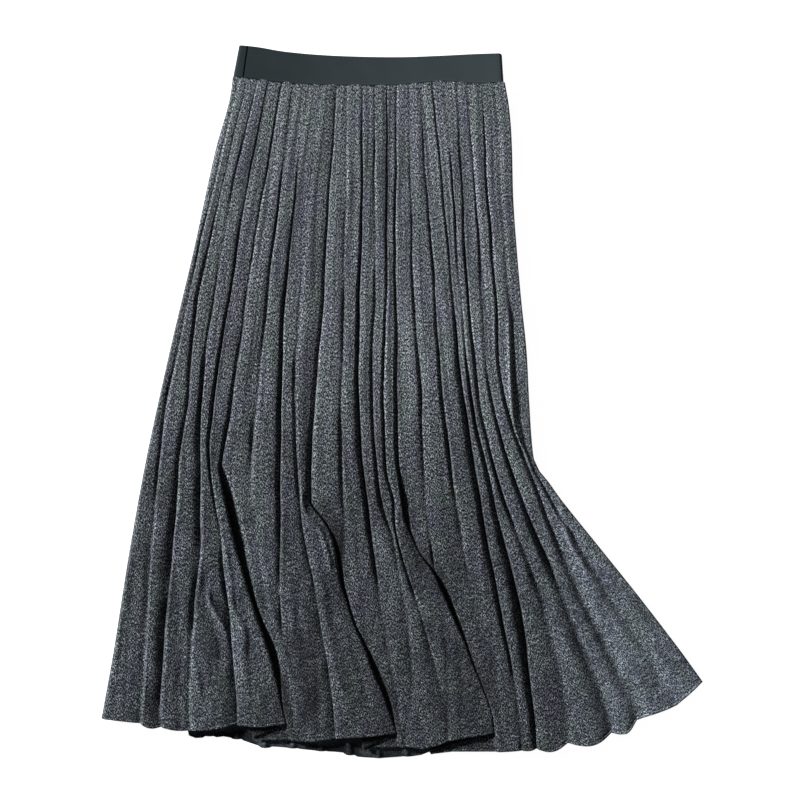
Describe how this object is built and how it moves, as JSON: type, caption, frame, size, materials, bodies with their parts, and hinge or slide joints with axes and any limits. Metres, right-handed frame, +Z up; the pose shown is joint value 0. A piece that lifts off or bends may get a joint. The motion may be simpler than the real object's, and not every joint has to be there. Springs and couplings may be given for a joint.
{
  "type": "pleated midi skirt",
  "caption": "Flared midi skirt in charcoal heather knit, pleated from waist to hem, with an elastic waistband, laid flat with its front up.",
  "frame": {"origin": "under the middle of the laid skirt, on the surface it lies on", "axes": "+X to the right across the skirt as it is seen, +Y along the skirt from hem to waist, +Z up from the surface"},
  "size_m": [0.6871, 0.8139, 0.0156],
  "materials": {
    "heather_knit": "matte charcoal heather knit",
    "elastic": "matte ribbed elastic, dark charcoal"
  },
  "bodies": {
    "root": {"front_panel": "heather_knit", "back_panel": "heather_knit", "waistband": "elastic"}
  },
  "joints": []
}
